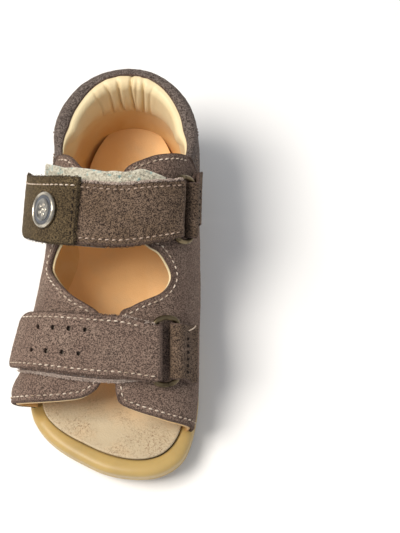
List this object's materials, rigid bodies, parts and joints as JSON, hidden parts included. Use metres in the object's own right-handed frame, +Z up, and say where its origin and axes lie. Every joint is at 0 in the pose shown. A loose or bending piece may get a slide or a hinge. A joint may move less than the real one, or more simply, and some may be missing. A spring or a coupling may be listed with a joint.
{
  "type": "open-toe child's sandal",
  "caption": "Toddler's suede sandal for the right foot: open toe, padded closed heel and two touch-close straps that fold back through wire rings.",
  "frame": {"origin": "on the ground under the middle of the sole, on the flat underside of the outsole", "axes": "+Y from the toe to the heel, +Z up, +X to the inner (big toe) side; the toe points along -Y"},
  "size_m": [0.0695, 0.1487, 0.072],
  "materials": {
    "suede": "brushed taupe suede",
    "patch_suede": "brushed dark olive-brown suede",
    "lining_leather": "smooth undyed cream leather",
    "footbed_leather": "smooth undyed tan leather, scuffed at the toes",
    "sole_rubber": "moulded honey-coloured rubber",
    "insole_board": "pressed fibre board",
    "counter_board": "thermoformed stiffener",
    "footbed_foam": "latex foam",
    "collar_foam": "soft foam",
    "loop_tape": "pale grey-green brushed loop tape",
    "hook_tape": "woven tape with fine plastic hooks",
    "antique_brass": "antiqued, dull",
    "antique_silver": "antiqued, rubbed bright on the edges",
    "badge_enamel": "dark inlay"
  },
  "bodies": {
    "root": {"outsole": "sole_rubber", "insole_board": "insole_board", "footbed_foam": "footbed_foam", "footbed_cover": "footbed_leather", "heel_quarter": "suede", "lateral_quarter": "suede", "medial_quarter": "suede", "heel_lining": "lining_leather", "lateral_lining": "lining_leather", "medial_lining": "lining_leather", "heel_counter": "counter_board", "collar_foam": "collar_foam", "front_strap_base": "suede", "front_loop_tape": "loop_tape", "front_ring_tab": "suede", "ankle_strap_base": "suede", "ankle_loop_tape": "loop_tape", "ankle_ring_tab": "suede"},
    "front_ring": {"front_ring": "antique_brass"},
    "front_flap": {"front_strap_flap": "suede", "front_hook_tape": "hook_tape"},
    "ankle_ring": {"ankle_ring": "antique_brass"},
    "ankle_flap": {"ankle_strap_flap": "suede", "ankle_hook_tape": "hook_tape", "ankle_end_patch": "patch_suede", "badge_rim": "antique_silver", "badge_inlay": "badge_enamel", "badge_post": "antique_silver"}
  },
  "joints": [
    {"name": "front_ring_swing", "type": "hinge", "parent": "root", "child": "front_ring", "pos_m": [0.02381, -0.03357, 0.04065], "axis": [-0.0444, 0.8905, 0.4529], "range_deg": [0, 25]},
    {"name": "front_strap_peel", "type": "hinge", "parent": "front_ring", "child": "front_flap", "pos_m": [0.01587, -0.0356, 0.04385], "axis": [-0.0444, 0.8905, 0.4529], "range_deg": [0, 120]},
    {"name": "ankle_ring_swing", "type": "hinge", "parent": "root", "child": "ankle_ring", "pos_m": [0.02631, 0.0155, 0.05296], "axis": [-0.0233, 0.9503, 0.3104], "range_deg": [0, 25]},
    {"name": "ankle_strap_peel", "type": "hinge", "parent": "ankle_ring", "child": "ankle_flap", "pos_m": [0.02124, 0.01316, 0.05976], "axis": [-0.0233, 0.9503, 0.3104], "range_deg": [0, 120]}
  ]
}
